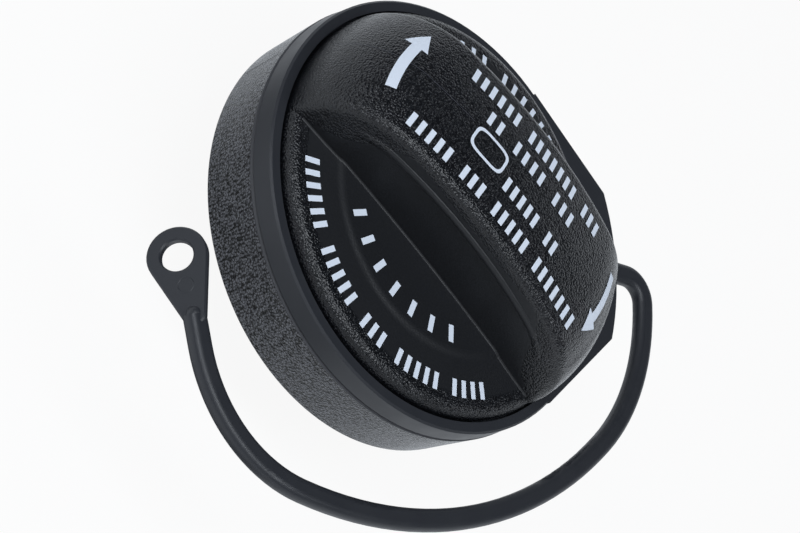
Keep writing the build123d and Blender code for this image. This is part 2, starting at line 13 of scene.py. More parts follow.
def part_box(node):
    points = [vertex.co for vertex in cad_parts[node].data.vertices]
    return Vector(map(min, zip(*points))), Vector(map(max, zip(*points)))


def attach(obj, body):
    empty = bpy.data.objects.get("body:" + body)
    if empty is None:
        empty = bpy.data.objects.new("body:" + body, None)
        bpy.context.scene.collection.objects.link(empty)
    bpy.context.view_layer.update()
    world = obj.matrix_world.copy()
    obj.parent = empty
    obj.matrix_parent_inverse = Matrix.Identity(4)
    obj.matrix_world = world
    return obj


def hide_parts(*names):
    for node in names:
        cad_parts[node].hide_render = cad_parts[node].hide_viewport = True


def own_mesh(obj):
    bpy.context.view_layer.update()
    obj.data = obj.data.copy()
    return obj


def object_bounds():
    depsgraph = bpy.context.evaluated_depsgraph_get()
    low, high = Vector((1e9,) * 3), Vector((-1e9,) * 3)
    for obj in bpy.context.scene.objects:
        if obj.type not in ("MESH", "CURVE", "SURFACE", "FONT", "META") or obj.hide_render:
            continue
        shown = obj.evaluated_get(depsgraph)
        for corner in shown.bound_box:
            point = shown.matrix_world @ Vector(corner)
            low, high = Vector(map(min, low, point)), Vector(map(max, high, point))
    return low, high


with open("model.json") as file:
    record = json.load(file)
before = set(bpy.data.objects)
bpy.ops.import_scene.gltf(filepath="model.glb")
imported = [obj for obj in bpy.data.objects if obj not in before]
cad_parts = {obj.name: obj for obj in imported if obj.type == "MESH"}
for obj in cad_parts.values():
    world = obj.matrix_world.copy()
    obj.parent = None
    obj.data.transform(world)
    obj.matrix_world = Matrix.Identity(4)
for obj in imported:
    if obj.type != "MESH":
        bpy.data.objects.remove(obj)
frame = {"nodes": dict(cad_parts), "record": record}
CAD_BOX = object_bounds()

# Looks of a screw-in fuel filler cap with its tether. Lengths here are in millimetres, angles in degrees.
# The part's frame: +Z up along the cap's axis, +X along the grip bar, the neck's lower end on the floor.

MM = 0.001
WELD_GAP = 0.001
RIM_OVER_SKIRT = 6.4
WHITE = "#FFFFFF"
LOG = logging.getLogger("filler_cap")

# Points along and across each small surface
TICK_POINTS = (3, 5)
ARROW_POINTS = (33, 9)
FRAME_POINTS = (97, 3)
BEAD_POINTS = (161, 25)
FOOT_POINTS = (161, 11)
DOME_SEAM_POINTS = 121
SKIRT_SEAM_POINTS = 5
MARK_POINTS = (49, 7)
WIRE_POINTS_PER_TURN = 32
WIRE_RING_POINTS = 17

Colour = tuple[float, float, float, float]


def linear(code: str) -> Colour:
    """Turn an sRGB hex colour into linear red, green, blue and alpha.

    Args:
        code: Six hex digits after a hash sign.

    Returns:
        The linear colour with full alpha.
    """
    srgb = np.array([int(code[i:i + 2], 16) for i in (1, 3, 5)]) / 255
    light = np.where(srgb <= 0.04045, srgb / 12.92, ((srgb + 0.055) / 1.055) ** 2.4)
    return (*(float(c) for c in light), 1.0)


def add(
    tree: bpy.types.NodeTree, kind: str, inputs: dict | None = None, **settings: object,
) -> bpy.types.Node:
    """Add one node with its settings, and set or link its inputs.

    Args:
        tree: The node tree that takes the node.
        kind: The node's type.
        inputs: A value or an output socket for each named or numbered input.
        **settings: The node's own properties.

    Returns:
        The new node.
    """
    node = tree.nodes.new(kind)
    for name, value in settings.items():
        setattr(node, name, value)
    for name, value in (inputs or {}).items():
        if isinstance(value, bpy.types.NodeSocket):
            tree.links.new(value, node.inputs[name])
        else:
            node.inputs[name].default_value = value
    return node


def off_axis(tree: bpy.types.NodeTree, place: bpy.types.NodeSocket) -> bpy.types.NodeSocket:
    """Measure how far a place is from the cap's axis.

    Args:
        tree: The node tree that takes the nodes.
        place: Object coordinates.

    Returns:
        The distance in metres.
    """
    plan = add(tree, "ShaderNodeVectorMath", {0: place, 1: (1.0, 1.0, 0.0)}, operation="MULTIPLY")
    return add(tree, "ShaderNodeVectorMath", {0: plan.outputs[0]}, operation="LENGTH").outputs["Value"]


def patches(name: str, points: np.ndarray) -> bpy.types.Object:
    """Make one object from several grids of points.

    Each grid is a surface over two parameters. Its quads join each point to the next one along both, and
    points that meet at a seam or a pole are welded.

    Args:
        name: The object's name.
        points: Millimetres, shaped (grids, rows, columns, 3). From outside, columns run to the left of rows.

    Returns:
        The object, at the origin, with its place in its mesh.
    """
    count, rows, columns, _ = points.shape
    index = np.arange(count * rows * columns).reshape(count, rows, columns)
    quads = np.stack([index[:, :-1, :-1], index[:, 1:, :-1], index[:, 1:, 1:], index[:, :-1, 1:]], -1)
    mesh = bpy.data.meshes.new(name)
    mesh.from_pydata((points * MM).reshape(-1, 3), [], quads.reshape(-1, 4).tolist())
    mesh.polygons.foreach_set("use_smooth", np.ones(len(mesh.polygons), bool))
    weld = bmesh.new()
    weld.from_mesh(mesh)
    bmesh.ops.remove_doubles(weld, verts=weld.verts, dist=WELD_GAP * MM)
    weld.to_mesh(mesh)
    weld.free()
    piece = bpy.data.objects.new(name, mesh)
    bpy.context.scene.collection.objects.link(piece)
    return piece


class Grain(Enum):
    """How the tool marks a moulding: pebble width and depth in millimetres, and how far pebbles stray."""

    LEATHER = (0.44, 0.26, 0.72)
    FINE_LEATHER = (0.36, 0.18, 1.0)
    SATIN = (0.25, 0.006, 1.0)


@dataclass(frozen=True)
class MouldedPlastic:
    """A thermoplastic moulding, whose gloss is broken up by the grain of its tool."""

    name: str
    colour: str
    roughness: float
    grain: Grain
    # Colour of the painted sheen on pebble tops; the base colour is then the painted shade of the pits
    painted_sheen_tone: str = ""
    plain_roughness: float = 0.5
    ior: float = 1.5
    rounding: float = 0.35
    noise_share: float = 0.3
    pit_level: float = 0.58
    crest_level: float = 0.3
    # Share of the painted sheen where the grain is calm
    calm_painted_sheen: float = 0.4
    wander: float = 5.0
    wander_range: tuple[float, float] = (0.3, 0.7)
    gloss_spread: float = 0.04

    def strength(self, tree: bpy.types.NodeTree, place: bpy.types.NodeSocket) -> bpy.types.NodeSocket | float:
        """How much of the grain shows at a place: all of it."""
        return 1.0

    def relief(self, tree: bpy.types.NodeTree, place: bpy.types.NodeSocket) -> bpy.types.NodeSocket:
        """Lay the pebbles: cells of a pebble's width, rounded at their tops, under noise at half the width.

        Args:
            tree: The material's node tree.
            place: Object coordinates.

        Returns:
            The pattern, lowest at a pebble's top.
        """
        width, _, stray = self.grain.value
        cells = add(tree, "ShaderNodeTexVoronoi", {
            "Vector": place, "Scale": 1 / (width * MM), "Smoothness": self.rounding, "Randomness": stray,
        }, feature="SMOOTH_F1")
        fine = add(tree, "ShaderNodeTexNoise", {"Vector": place, "Scale": 2 / (width * MM), "Detail": 1.0})
        return add(tree, "ShaderNodeMix", {
            0: self.noise_share, "A": cells.outputs["Distance"], "B": fine.outputs["Fac"],
        }).outputs[0]

    def tone(
        self, tree: bpy.types.NodeTree, show: bpy.types.NodeSocket | float, relief: bpy.types.NodeSocket,
    ) -> bpy.types.NodeSocket | Colour:
        """Colour the plastic: pebble tops take a paler painted sheen, the pits between them a darker painted
        shade.

        Args:
            tree: The material's node tree.
            show: The share of the grain that shows.
            relief: The pattern of the pebbles.

        Returns:
            The colour, the same all over where there is no painted sheen.
        """
        if not self.painted_sheen_tone:
            return linear(self.colour)
        # Painted sheen on the pebble tops, fading to painted shade in the pits
        tops = add(tree, "ShaderNodeMapRange", {
            "Value": relief, "From Min": self.pit_level, "From Max": self.crest_level,
        })
        share = add(tree, "ShaderNodeMix", {0: show, "A": self.calm_painted_sheen, "B": tops.outputs[0]})
        return add(tree, "ShaderNodeMix", {
            0: share.outputs[0], 6: linear(self.colour), 7: linear(self.painted_sheen_tone),
        }, data_type="RGBA").outputs[2]

    def gloss(
        self, tree: bpy.types.NodeTree, place: bpy.types.NodeSocket, show: bpy.types.NodeSocket | float,
    ) -> bpy.types.NodeSocket:
        """Vary the roughness: the polish of the tool wanders slowly, and calm areas have one of their own.

        Args:
            tree: The material's node tree.
            place: Object coordinates.
            show: The share of the grain that shows.

        Returns:
            The roughness.
        """
        worn = add(tree, "ShaderNodeTexNoise", {
            "Vector": place, "Scale": 1 / (self.wander * MM), "Detail": 2.0,
        })
        low, high = self.wander_range
        polish = add(tree, "ShaderNodeMapRange", {
            "Value": worn.outputs["Fac"], "From Min": low, "From Max": high,
            "To Min": self.roughness - self.gloss_spread, "To Max": self.roughness + self.gloss_spread,
        }).outputs[0]
        if isinstance(show, bpy.types.NodeSocket):
            return add(tree, "ShaderNodeMix", {0: show, "A": self.plain_roughness, "B": polish}).outputs[0]
        return polish

    def material(self) -> bpy.types.Material:
        """Make the material from the pebbles' relief, their painted sheen and shade, and the gloss.

        Returns:
            The new material.
        """
        _, depth, _ = self.grain.value
        skin = bpy.data.materials.new(self.name)
        skin.use_nodes = True
        tree = skin.node_tree
        tree.nodes.clear()
        place = add(tree, "ShaderNodeTexCoord").outputs["Object"]
        show = self.strength(tree, place)
        relief = self.relief(tree, place)
        bump = add(tree, "ShaderNodeBump", {
            "Height": relief, "Distance": depth * MM, "Strength": show,
        }, invert=True)
        shader = add(tree, "ShaderNodeBsdfPrincipled", {
            "Base Color": self.tone(tree, show, relief), "Roughness": self.gloss(tree, place, show),
            "IOR": self.ior, "Normal": bump.outputs["Normal"],
        })
        add(tree, "ShaderNodeOutputMaterial", {"Surface": shader.outputs["BSDF"]})
        return skin


@dataclass(frozen=True)
class GripPlastic(MouldedPlastic):
    """The grip's skin: grained on the dome and the rim, and calmer on the walls and floor beside the bar."""

    wall_top: float = 50.9
    wall_foot: float = 38.6
    fall_start: float = 20.0
    floor_end: float = 31.6
    border: float = 0.8
    calm: float = 0.15

    def strength(self, tree: bpy.types.NodeTree, place: bpy.types.NodeSocket) -> bpy.types.NodeSocket | float:
        """How much of the grain shows at a place.

        It is calm on the floor and up the walls to a line that falls towards the bar's ends, and all there
        above that line and past the floor's end, with soft borders.

        Args:
            tree: The material's node tree.
            place: Object coordinates.

        Returns:
            The share of the grain.
        """
        level = add(tree, "ShaderNodeSeparateXYZ", {0: place}).outputs["Z"]
        far = off_axis(tree, place)
        line = add(tree, "ShaderNodeMapRange", {
            "Value": far, "From Min": self.fall_start * MM, "From Max": self.floor_end * MM,
            "To Min": self.wall_top * MM, "To Max": self.wall_foot * MM,
        }, interpolation_type="SMOOTHSTEP").outputs[0]
        over = add(tree, "ShaderNodeMath", {0: level, 1: line}, operation="SUBTRACT").outputs[0]
        past = add(tree, "ShaderNodeMath", {0: far, 1: self.floor_end * MM}, operation="SUBTRACT").outputs[0]
        most = add(tree, "ShaderNodeMath", {0: over, 1: past}, operation="MAXIMUM").outputs[0]
        return add(tree, "ShaderNodeMapRange", {
            "Value": most, "From Min": 0.0, "From Max": self.border * MM, "To Min": self.calm, "To Max": 1.0,
        }, interpolation_type="SMOOTHSTEP").outputs[0]


@dataclass(frozen=True)
class SkirtPlastic(MouldedPlastic):
    """The skirt's skin: grained on its outer face up to a smooth top edge, and smooth inside."""

    grain_end: float = 30.2
    border: float = 0.4
    foot: float = 18.4
    foot_radius: float = 37.12
    top: float = 31.0
    top_radius: float = 38.0
    skin: float = 1.0

    def strength(self, tree: bpy.types.NodeTree, place: bpy.types.NodeSocket) -> bpy.types.NodeSocket | float:
        """How much of the grain shows at a place.

        It is all there on the drafted outer face up to the top edge, where it fades out, and none of it lies
        deeper than the skin's thickness inside that face.

        Args:
            tree: The material's node tree.
            place: Object coordinates.

        Returns:
            The share of the grain.
        """
        level = add(tree, "ShaderNodeSeparateXYZ", {0: place}).outputs["Z"]
        far = off_axis(tree, place)
        face = add(tree, "ShaderNodeMapRange", {
            "Value": level, "From Min": self.foot * MM, "From Max": self.top * MM,
            "To Min": self.foot_radius * MM, "To Max": self.top_radius * MM,
        }).outputs[0]
        proud = add(tree, "ShaderNodeMath", {0: far, 1: face}, operation="SUBTRACT").outputs[0]
        outside = add(tree, "ShaderNodeMapRange", {
            "Value": proud, "From Min": -self.skin * MM, "From Max": (self.border - self.skin) * MM,
        }, interpolation_type="SMOOTHSTEP").outputs[0]
        below = add(tree, "ShaderNodeMapRange", {
            "Value": level, "From Min": (self.grain_end + self.border) * MM, "From Max": self.grain_end * MM,
        }, interpolation_type="SMOOTHSTEP").outputs[0]
        return add(tree, "ShaderNodeMath", {0: outside, 1: below}, operation="MULTIPLY").outputs[0]


@dataclass(frozen=True)
class PlainFinish:
    """A smooth finish with no pattern that shows at this size."""

    name: str
    colour: str
    roughness: float
    metallic: float = 0.0
    ior: float = 1.5

    def material(self) -> bpy.types.Material:
        """Make the material.

        Returns:
            The new material.
        """
        skin = bpy.data.materials.new(self.name)
        skin.use_nodes = True
        shader = skin.node_tree.nodes["Principled BSDF"]
        shader.inputs["Base Color"].default_value = linear(self.colour)
        shader.inputs["Roughness"].default_value = self.roughness
        shader.inputs["Metallic"].default_value = self.metallic
        shader.inputs["IOR"].default_value = self.ior
        return skin


# Nylon moulded in an etched tool: near black, with a broad sheen that the grain breaks up
# Pebble tops take a paler painted sheen, and the dark base colour in the pits is painted shade
GRIP_NYLON = GripPlastic("nylon_moulded_fine_leather", "#0F1013", 0.2, Grain.FINE_LEATHER, "#202226")
SKIRT_NYLON = SkirtPlastic("nylon_moulded_leather", "#040405", 0.24, Grain.LEATHER, "#67686D", ior=1.4)
SMOOTH_NYLON = MouldedPlastic("nylon_moulded_satin", "#17181B", 0.5, Grain.SATIN)
# Nylon parting lines: a pale hair of painted highlight on the dome, a dark hair of painted shade on the skirt
PAINTED_FLASH_HIGHLIGHT = PlainFinish("nylon_flash_painted_highlight", "#3A3C42", 0.45)
PAINTED_GROOVE_SHADE = PlainFinish("nylon_groove_painted_shade", "#0B0B0D", 0.5)
# Polyester elastomer from a blasted tool: dark grey with a soft even sheen
TETHER_ELASTOMER = MouldedPlastic("polyester_elastomer_moulded_satin", "#2B2D32", 0.44, Grain.SATIN)
# Acetal from a polished tool: smooth and a little waxy
BLACK_ACETAL = MouldedPlastic("acetal_moulded_black", "#121212", 0.36, Grain.SATIN, ior=1.48)
NATURAL_ACETAL = MouldedPlastic("acetal_moulded_natural", "#E2DFD2", 0.38, Grain.SATIN, ior=1.48)
# Nitrile rubber: dull black
NITRILE = PlainFinish("nitrile_rubber_moulded", "#0D0D0D", 0.72, ior=1.52)
# Stainless wire, drawn bright
SPRING_STEEL = PlainFinish("stainless_spring_steel_drawn", "#C3C1BC", 0.28, metallic=1.0)
# Pad-printed ink: flat cool white
WHITE_INK = PlainFinish("pad_print_ink_white", "#E8F0FC", 0.55)


def dress(piece: bpy.types.Object, finish: MouldedPlastic | PlainFinish) -> None:
    """Give a piece one finish in place of what it had.

    Args:
        piece: The piece to dress.
        finish: The finish that it takes.
    """
    skin = bpy.data.materials.get(finish.name) or finish.material()
    piece.data.materials.clear()
    piece.data.materials.append(skin)
    LOG.info("%s is dressed in %s", piece.name, finish.name)


@dataclass
class GripForm:
    """The outside of the grip, from its box and the sizes of its arcs."""

    crown_radius: float = 100.0
    shoulder_radius: float = 16.0
    rim_radius: float = field(default_factory=lambda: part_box("grip_handle")[1].y / MM)
    crown: float = field(default_factory=lambda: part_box("grip_handle")[1].z / MM)
    rim: float = field(default_factory=lambda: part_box("outer_skirt")[1].z / MM + RIM_OVER_SKIRT)
    rim_round: float = 2.0
    floor_rise: float = 0.5
    plateau_rise: float = 0.35
    plateau_radius: float = 25.4
    riser_run: float = 2.0
    bar_foot_half: float = 13.35
    bar_draft: float = 1.0
    scoop_depth: float = 0.75
    scoop_half: float = 25.0
    crease_drop: float = 4.3

    def dome(self, x: np.ndarray, y: np.ndarray, inset: float = 0.0) -> np.ndarray:
        """Level of the dome over points of the plan.

        A wide arc over the crown runs on tangent into a shoulder arc, which ends at the rim. Both arcs keep
        their centres when the dome is drawn in.

        Args:
            x: Places along the bar.
            y: Places across it.
            inset: How far the dome is drawn in.

        Returns:
            The level over each point.
        """
        base = self.crown - self.crown_radius
        inner = self.crown_radius - self.shoulder_radius
        rise = self.rim - self.rim_round - base
        span = math.hypot(self.rim_radius, rise)
        along = (inner**2 - self.shoulder_radius**2 + span**2) / (2 * span)
        across = math.sqrt(inner**2 - along**2)
        centre = (along * self.rim_radius - across * rise) / span
        level = base + (along * rise + across * self.rim_radius) / span
        crown, shoulder = self.crown_radius - inset, self.shoulder_radius - inset
        radius = np.hypot(x, y)
        top = base + np.sqrt(crown**2 - np.minimum(radius, self.rim_radius)**2)
        side = level + np.sqrt(np.maximum(shoulder**2 - (radius - centre)**2, 0))
        return np.where(radius < crown * centre / inner, top, side)

    def floor(self, x: np.ndarray, y: np.ndarray) -> np.ndarray:
        """Level of the floor beside the bar over points of the plan.

        The plateau ends in a riser of two equal arcs. The floor then falls evenly to the rim's quarter round.

        Args:
            x: Places along the bar.
            y: Places across it.

        Returns:
            The level over each point.
        """
        radius = np.hypot(x, y)
        top, foot = self.plateau_radius - self.riser_run / 2, self.plateau_radius + self.riser_run / 2
        end = self.rim_radius - self.rim_round
        step = np.clip((radius - top) / self.riser_run, 0, 1)
        riser = np.where(step < 0.5, 1 - 2 * step**2, 2 * (1 - step)**2)
        slope = np.clip((end - radius) / (end - foot), 0, 1)
        lip = np.sqrt(np.maximum(self.rim_round**2 - np.maximum(radius - end, 0)**2, 0)) - self.rim_round
        return self.rim + lip + self.floor_rise * slope + self.plateau_rise * riser

    def wall(self, level: np.ndarray) -> np.ndarray:
        """Half the bar's width at a level, between its drafted walls."""
        plateau = self.rim + self.floor_rise + self.plateau_rise
        return self.bar_foot_half - (level - plateau) * math.tan(math.radians(self.bar_draft))

    def scoop(self, x: np.ndarray) -> np.ndarray:
        """Depth of the finger scoop along the bar: a shallow arc, nothing past its ends."""
        return self.scoop_depth * np.maximum(1 - (x / self.scoop_half)**2, 0)


class Ground(Enum):
    """The surface of the grip that a mark is printed on."""

    DOME = "dome"
    FLOOR = "floor"


class Course(Enum):
    """The line that a row of ticks follows."""

    STRAIGHT = "straight"
    ROUND = "round"


@dataclass(frozen=True)
class TickRow:
    """A row of plain upright ticks, set in groups.

    A straight row runs from one X to another at one Y. A round row runs between two angles at one radius.
    """

    name: str
    ground: Ground
    course: Course
    groups: tuple[int, ...]
    start: float
    end: float
    offset: float
    width: float = 1.0
    height: float = 2.9

    def places(self) -> np.ndarray:
        """Where the ticks stand along the row: equal steps, with one step left out between groups.

        Returns:
            One place for each tick.
        """
        kept = np.concatenate([np.append(np.ones(n, bool), False) for n in self.groups])[:-1]
        return np.linspace(self.start, self.end, len(kept))[kept]


@dataclass(frozen=True)
class Arrow:
    """A curved arrow that shows the way to turn the cap shut."""

    name: str
    radius: float
    tail: float
    shaft_angle: float = 22.2
    head_angle: float = 8.9
    shaft_width: float = 1.65
    head_width: float = 3.9


@dataclass
class Print:
    """White marks on the grip: two arrows, rows of plain ticks and a plain frame."""

    form: GripForm
    lift: float = 0.05
    arrows: tuple[Arrow, ...] = (Arrow("arrow_left", 27.75, 193.1), Arrow("arrow_right", 26.75, 16.0))
    rows: tuple[TickRow, ...] = (
        TickRow("tick_row_front", Ground.DOME, Course.STRAIGHT, (7, 5, 3, 5), 22.4, -21.6, -9.0),
        TickRow("tick_row_middle", Ground.DOME, Course.STRAIGHT, (2, 5), 11.3, -2.4, -3.7),
        TickRow("tick_row_inner_back", Ground.DOME, Course.STRAIGHT, (3, 4, 2), 11.2, -11.0, 3.6),
        TickRow("tick_row_back", Ground.DOME, Course.STRAIGHT, (3, 7, 6), 17.0, -17.0, 8.4),
        TickRow("tick_arc_floor_front", Ground.FLOOR, Course.ROUND, (4, 5, 3, 5, 6), -42.0, -145.0, 31.0),
        TickRow("tick_arc_plateau", Ground.FLOOR, Course.ROUND, (7,), -57.0, -128.0, 22.2, 1.1, 3.0),
        TickRow("tick_arc_floor_back", Ground.FLOOR, Course.ROUND, (6, 6, 8), 40.0, 144.0, 31.0),
    )
    frame_place: tuple[float, float] = (-8.3, -1.6)
    frame_half: tuple[float, float] = (3.9, 2.6)
    frame_line: float = 0.55

    def level(self, ground: Ground, x: np.ndarray, y: np.ndarray) -> np.ndarray:
        """Level of the ink over points of the plan.

        Args:
            ground: The surface under it.
            x: Places along the bar.
            y: Places across it.

        Returns:
            The level over each point.
        """
        surface = self.form.dome if ground is Ground.DOME else self.form.floor
        return surface(x, y) + self.lift

    def tick_row(self, row: TickRow) -> bpy.types.Object:
        """Lay one row of ticks: each is a small grid, its width along the row and its height across it.

        Args:
            row: The row to lay.

        Returns:
            The ticks as one piece.
        """
        across, up = np.meshgrid(*(np.linspace(-0.5, 0.5, count) for count in TICK_POINTS))
        place = row.places()[:, None, None]
        side, height = across * row.width, up * row.height
        if row.course is Course.STRAIGHT:
            x, y = place + side, row.offset + height + 0 * place
        else:
            angle, radius = np.radians(place), row.offset + height
            x = radius * np.cos(angle) + side * np.sin(angle)
            y = radius * np.sin(angle) - side * np.cos(angle)
        return patches(row.name, np.stack([x, y, self.level(row.ground, x, y)], -1)[:, :, ::-1])

    def arrow(self, arrow: Arrow) -> bpy.types.Object:
        """Lay one arrow: a band along an arc, then a head whose width falls to nothing at its tip.

        Args:
            arrow: The arrow to lay.

        Returns:
            The arrow as one piece.
        """
        steps, widths = ARROW_POINTS
        step, across = np.meshgrid(np.linspace(0, 1, steps), np.linspace(-0.5, 0.5, widths), indexing="ij")
        neck = arrow.tail - arrow.shaft_angle
        angle = np.radians(np.stack([arrow.tail - step * arrow.shaft_angle, neck - step * arrow.head_angle]))
        width = np.stack([0 * step + arrow.shaft_width, (1 - step) * arrow.head_width])
        radius = arrow.radius + across * width
        x, y = radius * np.cos(angle), radius * np.sin(angle)
        return patches(arrow.name, np.stack([x, y, self.level(Ground.DOME, x, y)], -1))

    def outline(self) -> bpy.types.Object:
        """Lay a plain frame: a line of even width round a squared oval.

        The oval is the curve on which the fourth powers of its two shares of the half sides add up to one.

        Returns:
            The frame as one piece.
        """
        turns, shares = FRAME_POINTS
        turn, share = np.meshgrid(np.linspace(0, 2 * np.pi, turns), np.linspace(0, 1, shares), indexing="ij")
        bend_x = np.sign(np.cos(turn)) * np.sqrt(np.abs(np.cos(turn)))
        bend_y = np.sign(np.sin(turn)) * np.sqrt(np.abs(np.sin(turn)))
        x = self.frame_place[0] + (self.frame_half[0] - share * self.frame_line) * bend_x
        y = self.frame_place[1] + (self.frame_half[1] - share * self.frame_line) * bend_y
        return patches("plain_frame", np.stack([x, y, self.level(Ground.DOME, x, y)], -1)[None])

    def build(self) -> list[bpy.types.Object]:
        """Lay all marks, each riding on the grip.

        Returns:
            The pieces of ink.
        """
        ink = [self.tick_row(row) for row in self.rows] + [self.arrow(arrow) for arrow in self.arrows]
        ink.append(self.outline())
        for piece in ink:
            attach(piece, "grip")
        return ink

    def dress(self, ink: list[bpy.types.Object]) -> None:
        """Give all marks the white ink."""
        for piece in ink:
            dress(piece, WHITE_INK)


@dataclass
class GripTrim:
    """Small moulded forms: a bead over each finger scoop, a round at each wall's foot, and parting lines in
    painted highlight and shade.
    """

    form: GripForm
    bead_half: float = 0.7
    bead_out: float = 0.45
    bead_under: float = 0.5
    bead_end: float = 24.6
    bead_turns: tuple[float, float] = (-150.0, 90.0)
    foot_radius: float = 0.45
    foot_end: float = 31.0
    sink: float = 0.02
    seam_start: float = -35.0
    seam_end: float = -13.2
    seam_offset: float = 0.3
    seam_width: float = 0.14
    skirt_draft: float = 4.0
    skirt_edge: float = 0.6

    def bead(self, name: str, side: int) -> bpy.types.Object:
        """Roll a bead along the crease over a scoop.

        The crease is where the wall meets the drawn-in dome. The bead's section is most of an oval that hangs
        a little under the crease and turns back into the wall. Its way out fades to nothing at both ends.

        Args:
            name: The piece's name.
            side: 1 or -1, for the wall on +Y or -Y.

        Returns:
            The bead.
        """
        end, inset = self.bead_end, self.form.crease_drop
        steps, ring = BEAD_POINTS
        turns = np.radians(np.linspace(*self.bead_turns, ring))
        x, turn = np.meshgrid(np.linspace(-end, end, steps), turns, indexing="ij")
        crease = self.form.dome(x, self.form.wall(self.form.crown - inset), inset)
        slope = np.gradient(crease[:, 0], x[:, 0])[:, None]
        up = (self.bead_half * (1 + np.sin(turn)) - self.bead_under) / np.hypot(slope, 1)
        out = self.bead_out * np.cos(turn) * np.sqrt(np.maximum(1 - (x / end)**2, 0)) - self.sink
        level = crease + up
        y = side * (self.form.wall(level) + out)
        return patches(name, np.stack([x - slope * up, y, level], -1)[None, ::-side])

    def foot(self, name: str, side: int) -> bpy.types.Object:
        """Lay a hollow quarter round where a wall meets the floor, sunk a little at both edges.

        Args:
            name: The piece's name.
            side: 1 or -1, for the wall on +Y or -Y.

        Returns:
            The round.
        """
        end, (steps, ring) = self.foot_end, FOOT_POINTS
        x, turn = np.meshgrid(np.linspace(-end, end, steps), np.linspace(0, np.pi / 2, ring), indexing="ij")
        wall = self.form.bar_foot_half - self.form.scoop(x)
        out = wall + self.foot_radius * (1 - np.sin(turn)) - self.sink
        level = self.form.floor(x, out) + self.foot_radius * (1 - np.cos(turn)) - self.sink
        return patches(name, np.stack([x, side * out, level], -1)[None, ::-side])

    def dome_seam(self) -> bpy.types.Object:
        """Lay the dome's parting line: a strip of a hair's width that follows the dome along its middle,
        painted as a highlight.

        Returns:
            The line.
        """
        along = np.linspace(self.seam_start, self.seam_end, DOME_SEAM_POINTS)
        x, across = np.meshgrid(along, np.array([-0.5, 0.5]), indexing="ij")
        y = self.seam_offset + self.seam_width * across
        return patches("dome_seam", np.stack([x, y, self.form.dome(x, y) + self.sink], -1)[None])

    def skirt_seam(self) -> bpy.types.Object:
        """Lay the skirt's two parting lines: strips of a hair's width up its drafted wall, at the bar's ends,
        painted as shade.

        Returns:
            Both lines as one piece.
        """
        foot, top = (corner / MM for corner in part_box("outer_skirt"))
        levels = np.linspace(foot.z + self.skirt_edge, top.z - self.skirt_edge, SKIRT_SEAM_POINTS)
        z, across = np.meshgrid(levels, np.array([-0.5, 0.5]), indexing="ij")
        x = -(top.x - (top.z - z) * math.tan(math.radians(self.skirt_draft)) + self.sink)
        strip = np.stack([x, self.seam_width * across, z], -1)
        return patches("skirt_seam", np.stack([strip, strip * (-1, -1, 1)]))

    def build(self) -> list[bpy.types.Object]:
        """Make all the trim, riding on the grip.

        Returns:
            The pieces of trim.
        """
        trim = [self.bead("scoop_bead_front", -1), self.bead("scoop_bead_back", 1)]
        trim += [self.foot("wall_foot_front", -1), self.foot("wall_foot_back", 1)]
        trim += [self.dome_seam(), self.skirt_seam()]
        for piece in trim:
            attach(piece, "grip")
        return trim

    def dress(self, trim: list[bpy.types.Object]) -> None:
        """Give the beads the grip's grain, the feet a satin skin and the parting lines a painted highlight
        and painted shade.

        Args:
            trim: The pieces in the order in which they were built.
        """
        # The dome's parting line is a painted highlight, the skirt's is painted shade
        finishes = (GRIP_NYLON, GRIP_NYLON, SMOOTH_NYLON, SMOOTH_NYLON, PAINTED_FLASH_HIGHLIGHT, PAINTED_GROOVE_SHADE)
        for piece, finish in zip(trim, finishes):
            dress(piece, finish)


@dataclass
class GripAssembly:
    """What the hand turns: the grip, its skirt and the retainer ring, with the trim and the print."""

    form: GripForm = field(default_factory=GripForm)

    def build(self) -> None:
        """Build the trim and the print and dress the mouldings."""
        trim, ink = GripTrim(self.form), Print(self.form)
        trim.dress(trim.build())
        ink.dress(ink.build())
        self.dress()

    def dress(self) -> None:
        """Give the mouldings their grained skins."""
        dress(frame["nodes"]["grip_handle"], GRIP_NYLON)
        dress(frame["nodes"]["outer_skirt"], SKIRT_NYLON)
        dress(frame["nodes"]["retainer_ring"], SPRING_STEEL)


@dataclass
class TetherAssembly:
    """The swivel ring, strap and eye in one moulding, with the mark of an ejector pin on the eye."""

    eye_half: float = 0.8
    mark_back: float = 5.3
    mark_radius: float = 1.25
    mark_half: float = 0.16
    mark_rise: float = 0.07
    mark_sink: float = 0.01
    # The way from the strap's end to the middle of the eye
    along: tuple[float, float, float] = (-0.663958, 0.699665, -0.263873)

    def mark(self) -> bpy.types.Object:
        """Raise a low round ring on the eye's face: a half turn of its section, carried round a circle.

        Returns:
            The ring.
        """
        mount = next(mount for mount in frame["record"]["mounts"] if mount["name"] == "tether_eye")
        up, along = np.array(mount["axis"]), np.array(self.along)
        centre = np.array(mount["pos_m"]) / MM - along * self.mark_back + up * self.eye_half
        steps, ring = MARK_POINTS
        angles, turns = np.linspace(0, 2 * np.pi, steps), np.linspace(0, np.pi, ring)
        angle, turn = (part[..., None] for part in np.meshgrid(angles, turns, indexing="ij"))
        radius = self.mark_radius - self.mark_half * np.cos(turn)
        spoke = np.cos(angle) * along + np.sin(angle) * np.cross(up, along)
        points = centre + radius * spoke + (self.mark_rise * np.sin(turn) - self.mark_sink) * up
        return patches("eye_mark", points[None, ::-1])

    def build(self) -> None:
        """Build the mark and dress the tether."""
        mark = self.mark()
        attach(mark, "tether")
        self.dress(mark)

    def dress(self, mark: bpy.types.Object) -> None:
        """Give the tether and the mark their satin skin."""
        dress(frame["nodes"]["tether"], TETHER_ELASTOMER)
        dress(mark, TETHER_ELASTOMER)


class FixedEnd(Enum):
    """The end of a spring that stays put when its joint moves."""

    FOOT = 0
    TOP = 1


